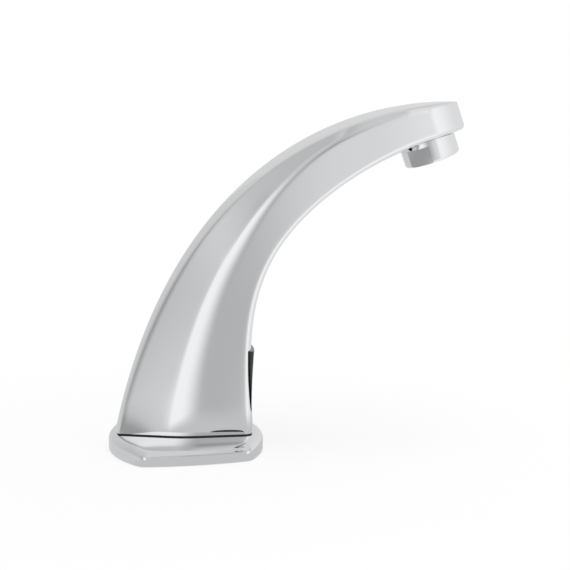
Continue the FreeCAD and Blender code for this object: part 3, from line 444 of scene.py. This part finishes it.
def spout_solid(name, inset, rows, arc_steps, line_steps, drop, back_off, nose_steps):
    """The arch as a closed mesh. With nose_steps it ends in the half round nose,
    without it ends flat, back_off behind the outlet's axis."""
    share_back = find_share(back_line, -back_off)
    share_front = find_share(front_line, -back_off)
    verts = []
    count = 0
    sections = []
    if drop:
        sections.append((0.0, drop))
    sections += [(i / (rows - 1), 0.0) for i in range(rows)]
    for s, down in sections:
        b = along(back_line, s * share_back)
        f = along(front_line, s * share_front)
        across = (f - b).normalized()
        t = s * (share_back + share_front) / 2
        half = spout_half_section(t, (f - b).length, inset, arc_steps, line_steps)
        ring = [b + across * p.x + Vector((0, p.y, -down)) for p in half]
        ring += [b + across * p.x + Vector((0, -p.y, -down)) for p in half[-2:0:-1]]
        count = len(ring)
        verts += ring
    rows = len(sections)
    faces = grid_faces(rows, count, True)
    faces.append(tuple(range(count)))
    last = (rows - 1) * count
    if not nose_steps:
        faces.append(tuple(range(last, last + count)))
        return finished_mesh(name, verts, faces)
    half_count = len(half)
    line_up = [(b + across * p.x - outlet).dot(axis_up) for p in half]
    top_at_axis, under_at_axis = line_up[0], line_up[-1]
    first = len(verts)
    depth = (f - b).length
    w_back = spout_half_widths(t)[0] - inset
    u_crease = max(depth * crease_share[2], inset + crease_least)
    crease_line = line_up[0] - u_crease * (line_up[0] - line_up[-1]) / depth
    for k in range(nose_steps + 1):
        angle = math.pi / 2 - math.pi * k / nose_steps
        # the bevel along the crease dies out towards the front of the nose
        keep = 1 - bevel_loss * math.cos(angle) ** 0.7
        for j, q in enumerate(half):
            p = q.copy()
            wide = nose_radius - inset
            if p.x < u_crease:
                if p.y < w_back:
                    p.y = p.y * (wide - (wide - w_back) * keep) / w_back
                else:
                    p.y = wide - (wide - p.y) * keep
            ahead = abs(p.y) * math.cos(angle)
            top = (along(back_line, find_share(back_line, ahead)) - outlet).dot(axis_up)
            under = (along(front_line, find_share(front_line, ahead)) - outlet).dot(axis_up)
            level = line_up[j]
            if level > crease_line:
                level = top_at_axis - (top_at_axis - level) * keep
            else:
                new_line = top_at_axis - (top_at_axis - crease_line) * keep
                stretch = (new_line - under_at_axis) / (crease_line - under_at_axis)
                level = under_at_axis + (level - under_at_axis) * stretch
            share = (level - under_at_axis) / (top_at_axis - under_at_axis)
            base_top = (b - outlet).dot(axis_up)
            base_under = (f - outlet).dot(axis_up)
            lift = (top - base_top) * share + (under - base_under) * (1 - share)
            place = outlet + axis_up * (level + lift)
            place += axis_ahead * ahead + axis_side * (p.y * math.sin(angle))
            verts.append(place)
    for k in range(nose_steps):
        for j in range(half_count - 1):
            a = first + k * half_count + j
            faces.append((a, a + 1, a + half_count + 1, a + half_count))
    return finished_mesh(name, verts, faces)


def drum(name, radius, low, high, steps=128, centre=outlet, up=axis_up, side=axis_side):
    """A plain round cutter about an axis."""
    other = side.cross(up)
    verts = []
    for level in (low, high):
        for k in range(steps):
            a = 2 * math.pi * k / steps
            spoke = side * (radius * math.cos(a)) + other * (radius * math.sin(a))
            verts.append(centre + up * level + spoke)
    faces = grid_faces(2, steps, True) + [tuple(range(steps)), tuple(range(steps, 2 * steps))]
    return finished_mesh(name, verts, faces)


def carve(thing, *cutters):
    """Takes the cutters out of a piece, one after another, and deletes them."""
    for cutter in cutters:
        cut = thing.modifiers.new("cut", "BOOLEAN")
        cut.operation = "DIFFERENCE"
        cut.solver = "EXACT"
        cut.object = cutter
        view = bpy.context.evaluated_depsgraph_get()
        mesh = bpy.data.meshes.new_from_object(thing.evaluated_get(view))
        thing.modifiers.clear()
        old = thing.data
        thing.data = mesh
        bpy.data.meshes.remove(old)
        bpy.data.objects.remove(cutter)
    thing.data.name = thing.name


def prism(name, outline, low, high):
    """Upright block on a list of (x, y) points, in millimetres."""
    verts = [(x / 1000, y / 1000, z / 1000) for z in (low, high) for x, y in outline]
    count = len(outline)
    faces = grid_faces(2, count, True) + [tuple(range(count)), tuple(range(count, 2 * count))]
    return finished_mesh(name, verts, faces)


def slab(name, x0, x1, half_y, z0, z1):
    return prism(name, [(x0, -half_y), (x1, -half_y), (x1, half_y), (x0, half_y)], z0, z1)


# window: its back, its tongue and its slanted side edges, in millimetres
window_low, window_high = 17.15, 42.85
window_back, window_tongue = 25.8, 12.65
edge_low_x, edge_high_x = 28.45, 27.15
rise = (edge_high_x - edge_low_x) / (window_high - window_low)
window_sides = finished_mesh("window_sides", [
    ((edge_low_x + (0 if z < 30 else edge_high_x - edge_low_x)) / 1000 if near else 0.05, y, z / 1000)
    for z in (window_low, window_high) for near, y in ((1, -0.03), (0, -0.03), (0, 0.03), (1, 0.03))
], [(0, 1, 2, 3), (4, 5, 6, 7), (0, 1, 5, 4), (1, 2, 6, 5), (2, 3, 7, 6), (3, 0, 4, 7)])
window_room = slab("window_room", window_back, 50, window_tongue, window_low, window_high)
sensor_hole = slab("sensor_hole", 18, 27, 10.6, 19.4, 40.6)

spout = spout_solid("spout_body", 0.0, 150, 10, 9, 0, 0, 40)
spout_hollow = spout_solid("hollow", wall, 60, 4, 3, 0.005, 0.0095, 0)
# left standing in the hollow: the window's ledge and the posts for the screws
ledge = slab("ledge", 23, 33, 20, 15.3, 44.7)
post_r, post_low, post_high = 2.6, 12, 21.7
rib_half, rib_reach = 1.8, 8
bosses = []
for x, y in ((12.6, 8.9), (12.6, -8.9), (-12.5, 4.6), (-12.5, -4.6)):
    turns_round = [a * math.pi / 12 for a in range(24)]
    round_post = [(x + post_r * math.cos(a), y + post_r * math.sin(a)) for a in turns_round]
    bosses.append(prism("boss", round_post, post_low, post_high))
    far = y + math.copysign(rib_reach, y)
    rib = [(x - rib_half, y), (x + rib_half, y), (x + rib_half, far), (x - rib_half, far)]
    bosses.append(prism("rib", rib, post_low, post_high))
outlet_bore_r, outlet_bore_top = 0.01345, 0.0159
outlet_hole = drum("outlet_hole", outlet_bore_r, -0.03, outlet_bore_top)
carve(spout_hollow, ledge, *bosses)
carve(spout, spout_hollow, outlet_hole, window_sides, window_room, sensor_hole)
for face in spout.data.polygons:
    face.use_smooth = True
spout.data.set_sharp_from_angle(angle=math.radians(32))


def chrome_finish():
    """Polished chrome plate: very smooth, with a faint unevenness from buffing."""
    finish = bpy.data.materials.new("chrome_plate")
    finish.use_nodes = True
    nodes = finish.node_tree.nodes
    links = finish.node_tree.links
    shader = nodes["Principled BSDF"]
    shader.inputs["Base Color"].default_value = (0.86, 0.87, 0.88, 1)
    shader.inputs["Metallic"].default_value = 1.0
    place = nodes.new("ShaderNodeTexCoord")
    buffing = nodes.new("ShaderNodeTexNoise")
    buffing.inputs["Scale"].default_value = 90.0
    buffing.inputs["Detail"].default_value = 3.0
    polish = nodes.new("ShaderNodeMapRange")
    polish.inputs["From Min"].default_value = 0.3
    polish.inputs["From Max"].default_value = 0.7
    polish.inputs["To Min"].default_value = 0.015
    polish.inputs["To Max"].default_value = 0.04
    links.new(place.outputs["Object"], buffing.inputs["Vector"])
    links.new(buffing.outputs["Fac"], polish.inputs["Value"])
    links.new(polish.outputs["Result"], shader.inputs["Roughness"])
    return finish


chrome = chrome_finish()
spout.data.materials.clear()
spout.data.materials.append(chrome)
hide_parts("spout_shell")
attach(spout, "tap")

# ---------------------------------------------------------------------------
# Base plate: a chrome escutcheon with bowed edges. Its flat middle falls away
# to both sides and rounds off into an upright edge. A long hole through it
# clears the bosses of the foot, and a groove below takes the deck seal.
plate_x = 3.0
plate_half = (32.25, 31.95)
plate_bow = (50.0, 125.0)
plate_corner = 5.0
plate_edge, plate_top = 4.2, 7.58
plate_shoulder = 4.4
plate_flat, plate_fall_at, plate_fall = 17.4, 27.6, 1.5
slot_half, slot_boss = 5.2, 9.0
slot_ends = (-17.5, 22.6)


def plate_outline(inset, steps=24):
    """Points round the plate at that inset, from eight arcs."""
    hx, hy = plate_half[0] - inset, plate_half[1] - inset
    end_r, side_r = plate_bow[0] - inset, plate_bow[1] - inset
    corner_r = plate_corner - 0.6 * inset
    end_c, side_c = Vector((hx - end_r, 0)), Vector((0, hy - side_r))
    a, b = end_r - corner_r, side_r - corner_r
    line = side_c - end_c
    share = (a * a - b * b + line.length_squared) / (2 * line.length)
    up = math.sqrt(a * a - share * share)
    line.normalize()
    spots = [end_c + line * share + side * up * Vector((-line.y, line.x)) for side in (1, -1)]
    corner = spots[0] if min(spots[0]) > 0 else spots[1]
    end_turn = math.atan2(*reversed(corner - end_c))
    side_turn = math.atan2(*reversed(corner - side_c))
    quarter = []
    for k in range(steps):
        turn = end_turn * k / steps
        quarter.append(end_c + end_r * Vector((math.cos(turn), math.sin(turn))))
    for k in range(steps):
        turn = end_turn + (side_turn - end_turn) * k / steps
        quarter.append(corner + corner_r * Vector((math.cos(turn), math.sin(turn))))
    for k in range(steps + 1):
        turn = side_turn + (math.pi / 2 - side_turn) * k / steps
        quarter.append(side_c + side_r * Vector((math.cos(turn), math.sin(turn))))
    points = list(quarter)
    points += [Vector((-q.x, q.y)) for q in reversed(quarter[:-1])]
    points += [Vector((-q.x, -q.y)) for q in quarter[1:]]
    points += [Vector((q.x, -q.y)) for q in reversed(quarter[1:-1])]
    return points


def plate_height(y):
    """Top of the plate before its edge is rounded."""
    share = max(0.0, (abs(y) - plate_flat) / (plate_fall_at - plate_flat))
    return plate_top - plate_fall * share ** 3


plate_verts = []
profile = [(0.5, 0.0, 0), (0.12, 0.12, 0), (0.0, 0.5, 0), (0.0, plate_edge * 0.6, 0)]
for k in range(15):
    turn = math.pi / 2 * k / 14
    profile.append((plate_shoulder * (1 - math.cos(turn)), math.sin(turn), 1))
profile += [(plate_shoulder + 1.3 * k, 1.0, 1) for k in range(1, 10)]
for inset, level, on_top in profile:
    for q in plate_outline(min(inset, 6.5)):
        if inset > 6.5:
            q = q * (1 - (inset - 6.5) / 26)
        z = plate_edge + (plate_height(q.y) - plate_edge) * level if on_top else level
        plate_verts.append(((plate_x + q.x) / 1000, q.y / 1000, z / 1000))
plate_around = len(plate_outline(0))
plate_faces = grid_faces(len(profile), plate_around, True)
plate_faces.append(tuple(range(plate_around)))
last = (len(profile) - 1) * plate_around
plate_faces.append(tuple(range(last, last + plate_around)))
plate = finished_mesh("escutcheon", plate_verts, plate_faces)
slot_points = []
slot_length = slot_ends[1] - slot_ends[0] + 2 * slot_half
for k in range(97):
    x = slot_ends[0] - slot_half + slot_length * (1 - math.cos(math.pi * k / 96)) / 2
    out = max(slot_ends[0] - x, x - slot_ends[1], 0.0)
    y = math.sqrt(max(0.0, slot_half ** 2 - out ** 2))
    slot_points.append((x, max(y, math.sqrt(max(0.0, slot_boss ** 2 - x * x)))))
slot_outline = slot_points + [(x, -y) for x, y in reversed(slot_points[1:-1])]
slot_cutter = prism("slot", slot_outline, -3, 12)
groove = prism("groove", [(plate_x + q.x, q.y) for q in plate_outline(2.95)], -2, 1.25)
kernel = prism("kernel", [(plate_x + q.x, q.y) for q in plate_outline(5.45)], -3, 3)
carve(groove, kernel)
carve(plate, slot_cutter, groove)
for face in plate.data.polygons:
    face.use_smooth = True
plate.data.set_sharp_from_angle(angle=math.radians(32))
plate.data.materials.clear()
plate.data.materials.append(chrome)
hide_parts("base_plate")
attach(plate, "tap")

# ---------------------------------------------------------------------------
# Aerator ring: turned, chrome plated, with two spanner flats at its lower end
# and a plain sleeve where its thread would be.
ring_profile = [
    (8.6, 0.5), (9.0, 0.12), (9.3, 0.0), (11.0, 0.0), (11.42, 0.09), (11.76, 0.3), (11.93, 0.6),
    (12.0, 1.0), (12.0, 9.9), (11.85, 10.25), (11.5, 10.4), (11.5, 13.8), (11.3, 14.0),
    (9.4, 14.0), (9.4, 1.2), (8.6, 1.2),
]
ring_steps = 144
ring_verts = []
for r, h in ring_profile:
    for k in range(ring_steps):
        a = 2 * math.pi * k / ring_steps
        flat = axis_ahead * (r * math.cos(a)) + axis_side * (r * math.sin(a)) + axis_up * h
        ring_verts.append(outlet + flat / 1000)
ring_faces = grid_faces(len(ring_profile), ring_steps, True)
top = (len(ring_profile) - 1) * ring_steps
for k in range(ring_steps):
    n = (k + 1) % ring_steps
    ring_faces.append((top + k, top + n, n, k))
aerator_ring = finished_mesh("aerator_ring", ring_verts, ring_faces)
flats_half, flats_top, flats_turn = 10.8, 7.4, math.radians(42)
for side in (1, -1):
    facing = side * (axis_side * math.cos(flats_turn) + axis_ahead * math.sin(flats_turn))
    along_flat = facing.cross(axis_up)
    corners = []
    for h in (-5, flats_top):
        for out, wide in ((flats_half, -20), (flats_half + 9, -20), (flats_half + 9, 20), (flats_half, 20)):
            corners.append(outlet + (facing * out + along_flat * wide + axis_up * h) / 1000)
    sides = [(0, 1, 2, 3), (4, 5, 6, 7), (0, 1, 5, 4), (1, 2, 6, 5), (2, 3, 7, 6), (3, 0, 4, 7)]
    carve(aerator_ring, finished_mesh("flat", corners, sides))
for face in aerator_ring.data.polygons:
    face.use_smooth = True
aerator_ring.data.set_sharp_from_angle(angle=math.radians(24))
aerator_ring.data.materials.clear()
aerator_ring.data.materials.append(chrome)
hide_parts("aerator_housing")
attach(aerator_ring, "aerator_ring")

# ---------------------------------------------------------------------------
# Coil: one layer of enamelled copper turns round a plain core, which stands
# for the layers below. The turns are instances, kept as one plain mesh.
wire_r, winding_r = 0.25, 6.5
winding_low, winding_high, winding_core = 30.4, 42.4, 5.1


def copper_finish():
    """Enamelled copper: warm, glossy, with a tone that shifts a little from turn to turn."""
    finish = bpy.data.materials.new("copper_wire")
    finish.use_nodes = True
    nodes = finish.node_tree.nodes
    links = finish.node_tree.links
    shader = nodes["Principled BSDF"]
    shader.inputs["Metallic"].default_value = 1.0
    shader.inputs["Roughness"].default_value = 0.28
    shader.inputs["Coat Weight"].default_value = 0.6
    place = nodes.new("ShaderNodeTexCoord")
    tone = nodes.new("ShaderNodeTexNoise")
    tone.inputs["Scale"].default_value = 900.0
    mix = nodes.new("ShaderNodeMix")
    mix.data_type = "RGBA"
    mix.inputs["A"].default_value = (0.50, 0.17, 0.06, 1)
    mix.inputs["B"].default_value = (0.78, 0.33, 0.14, 1)
    links.new(place.outputs["Object"], tone.inputs["Vector"])
    links.new(tone.outputs["Fac"], mix.inputs["Factor"])
    links.new(mix.outputs["Result"], shader.inputs["Base Color"])
    return finish


copper = copper_finish()
turns = int((winding_high - winding_low) / (2 * wire_r))
tree = bpy.data.node_groups.new("winding", "GeometryNodeTree")
tree.interface.new_socket("Geometry", in_out="INPUT", socket_type="NodeSocketGeometry")
turn_socket = tree.interface.new_socket("Turns", in_out="INPUT", socket_type="NodeSocketInt")
step_socket = tree.interface.new_socket("Pitch", in_out="INPUT", socket_type="NodeSocketFloat")
tree.interface.new_socket("Geometry", in_out="OUTPUT", socket_type="NodeSocketGeometry")
nodes, links = tree.nodes, tree.links
group_in = nodes.new("NodeGroupInput")
group_out = nodes.new("NodeGroupOutput")
step_up = nodes.new("ShaderNodeCombineXYZ")
line = nodes.new("GeometryNodeMeshLine")
line.inputs["Start Location"].default_value = (0, 0, (winding_low + wire_r) / 1000)
loop = nodes.new("GeometryNodeCurvePrimitiveCircle")
loop.inputs["Resolution"].default_value = 72
loop.inputs["Radius"].default_value = (winding_r - wire_r) / 1000
wire = nodes.new("GeometryNodeCurvePrimitiveCircle")
wire.inputs["Resolution"].default_value = 10
wire.inputs["Radius"].default_value = wire_r / 1000
to_mesh = nodes.new("GeometryNodeCurveToMesh")
spread = nodes.new("GeometryNodeInstanceOnPoints")
realize = nodes.new("GeometryNodeRealizeInstances")
join = nodes.new("GeometryNodeJoinGeometry")
paint = nodes.new("GeometryNodeSetMaterial")
paint.inputs["Material"].default_value = copper
links.new(group_in.outputs["Turns"], line.inputs["Count"])
links.new(group_in.outputs["Pitch"], step_up.inputs["Z"])
links.new(step_up.outputs["Vector"], line.inputs["Offset"])
links.new(loop.outputs["Curve"], to_mesh.inputs["Curve"])
links.new(wire.outputs["Curve"], to_mesh.inputs["Profile Curve"])
links.new(line.outputs["Mesh"], spread.inputs["Points"])
links.new(to_mesh.outputs["Mesh"], spread.inputs["Instance"])
links.new(spread.outputs["Instances"], join.inputs["Geometry"])
links.new(group_in.outputs["Geometry"], join.inputs["Geometry"])
links.new(join.outputs["Geometry"], realize.inputs["Geometry"])
links.new(realize.outputs["Geometry"], paint.inputs["Geometry"])
links.new(paint.outputs["Geometry"], group_out.inputs["Geometry"])
core_verts = []
core_r, core_steps = winding_r - 0.2, 72
core_profile = [
    (winding_core, winding_low), (core_r, winding_low),
    (core_r, winding_high), (winding_core, winding_high),
]
for r, z in core_profile:
    for k in range(core_steps):
        a = 2 * math.pi * k / core_steps
        core_verts.append((r * math.cos(a) / 1000, r * math.sin(a) / 1000, z / 1000))
core_faces = grid_faces(len(core_profile), core_steps, True)
core_last = (len(core_profile) - 1) * core_steps
for k in range(core_steps):
    n = (k + 1) % core_steps
    core_faces.append((core_last + k, core_last + n, n, k))
winding = finished_mesh("winding", core_verts, core_faces)
wound = winding.modifiers.new("turns", "NODES")
wound.node_group = tree
wound[turn_socket.identifier] = turns
wound[step_socket.identifier] = 2 * wire_r / 1000
view = bpy.context.evaluated_depsgraph_get()
solid_mesh = bpy.data.meshes.new_from_object(winding.evaluated_get(view))
winding.modifiers.clear()
winding.data = solid_mesh
for face in winding.data.polygons:
    face.use_smooth = True
winding.data.set_sharp_from_angle(angle=math.radians(40))
winding.data.materials.clear()
winding.data.materials.append(copper)
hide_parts("coil_winding")
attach(winding, "tap")

# ---------------------------------------------------------------------------
# The other pieces keep their exact shape and get their finishes here. Each
# finish has a grain of its own: tool marks, moulding texture or a weave.


def plain_finish(name, colour, other, metallic, rough, grain, depth, marks=None, coat=0.0):
    """Two close tones, a rough range and a fine relief, by noise or by turning marks."""
    finish = bpy.data.materials.new(name)
    finish.use_nodes = True
    nodes = finish.node_tree.nodes
    links = finish.node_tree.links
    shader = nodes["Principled BSDF"]
    shader.inputs["Metallic"].default_value = metallic
    shader.inputs["Coat Weight"].default_value = coat
    place = nodes.new("ShaderNodeTexCoord")
    noise = nodes.new("ShaderNodeTexNoise")
    noise.inputs["Scale"].default_value = grain
    noise.inputs["Detail"].default_value = 5.0
    links.new(place.outputs["Object"], noise.inputs["Vector"])
    pattern = noise.outputs["Fac"]
    if marks:
        wave = nodes.new("ShaderNodeTexWave")
        wave.wave_type = marks[0]
        if marks[0] == "RINGS":
            wave.rings_direction = marks[1]
        else:
            wave.bands_direction = marks[1]
        wave.inputs["Scale"].default_value = marks[2]
        wave.inputs["Distortion"].default_value = 1.5
        links.new(place.outputs["Object"], wave.inputs["Vector"])
        pattern = wave.outputs["Fac"]
    tone = nodes.new("ShaderNodeMix")
    tone.data_type = "RGBA"
    tone.inputs["A"].default_value = (*colour, 1)
    tone.inputs["B"].default_value = (*other, 1)
    links.new(noise.outputs["Fac"], tone.inputs["Factor"])
    links.new(tone.outputs["Result"], shader.inputs["Base Color"])
    spread = nodes.new("ShaderNodeMapRange")
    spread.inputs["To Min"].default_value = rough[0]
    spread.inputs["To Max"].default_value = rough[1]
    links.new(pattern, spread.inputs["Value"])
    links.new(spread.outputs["Result"], shader.inputs["Roughness"])
    bump = nodes.new("ShaderNodeBump")
    bump.inputs["Strength"].default_value = 0.35
    bump.inputs["Distance"].default_value = depth
    links.new(pattern, bump.inputs["Height"])
    links.new(bump.outputs["Normal"], shader.inputs["Normal"])
    return finish


turning = ("BANDS", "Z", 900.0)
finishes = {
    "brass": plain_finish(
        "brass", (0.70, 0.52, 0.25), (0.80, 0.62, 0.34),
        1.0, (0.22, 0.34), 240, 2e-5, turning,
    ),
    "black_rubber": plain_finish(
        "black_rubber", (0.020, 0.020, 0.021), (0.035, 0.035, 0.036),
        0.0, (0.55, 0.75), 1600, 3e-5,
    ),
    "grey_rubber": plain_finish(
        "grey_rubber", (0.17, 0.17, 0.18), (0.26, 0.26, 0.27),
        0.0, (0.6, 0.8), 700, 4e-5, ("BANDS", "X", 1500.0),
    ),
    "white_plastic": plain_finish(
        "white_plastic", (0.80, 0.80, 0.78), (0.87, 0.87, 0.85),
        0.0, (0.35, 0.5), 1200, 1e-5,
    ),
    "black_plastic": plain_finish(
        "black_plastic", (0.035, 0.035, 0.038), (0.060, 0.060, 0.064),
        0.0, (0.42, 0.6), 2200, 3e-5,
    ),
    "steel": plain_finish(
        "steel", (0.58, 0.58, 0.57), (0.68, 0.68, 0.67),
        1.0, (0.20, 0.34), 500, 1e-5, ("BANDS", "Z", 1400.0),
    ),
    "magnet_dark": plain_finish(
        "magnet_dark", (0.16, 0.16, 0.17), (0.26, 0.26, 0.27),
        1.0, (0.35, 0.55), 1500, 2e-5,
    ),
    "board_green": plain_finish(
        "board_green", (0.02, 0.16, 0.06), (0.05, 0.26, 0.11),
        0.0, (0.25, 0.4), 420, 3e-5, ("BANDS", "Y", 420.0), 0.5,
    ),
    "ir_clear": plain_finish(
        "ir_clear", (0.24, 0.26, 0.36), (0.34, 0.36, 0.46),
        0.0, (0.06, 0.14), 300, 1e-6, None, 0.8,
    ),
    "ir_dark": plain_finish(
        "ir_dark", (0.03, 0.02, 0.04), (0.06, 0.04, 0.08),
        0.0, (0.06, 0.14), 300, 1e-6, None, 0.8,
    ),
    "led_red": plain_finish(
        "led_red", (0.45, 0.03, 0.02), (0.62, 0.07, 0.05),
        0.0, (0.15, 0.3), 500, 1e-6, None, 0.5,
    ),
    "lead_red": plain_finish(
        "lead_red", (0.42, 0.03, 0.03), (0.54, 0.05, 0.04),
        0.0, (0.35, 0.5), 900, 1e-5,
    ),
    "window_black": plain_finish(
        "window_black", (0.004, 0.004, 0.005), (0.007, 0.007, 0.009),
        0.0, (0.05, 0.11), 260, 2e-6, None, 0.15,
    ),
    "chrome_plate": chrome,
    "copper_wire": copper,
}
replaced = {"spout_shell", "base_plate", "aerator_housing", "coil_winding"}
for part in frame["record"]["subparts"]:
    if part["node"] in replaced:
        continue
    mesh = frame["nodes"][part["node"]].data
    mesh.materials.clear()
    mesh.materials.append(finishes[part["material_slot"]])
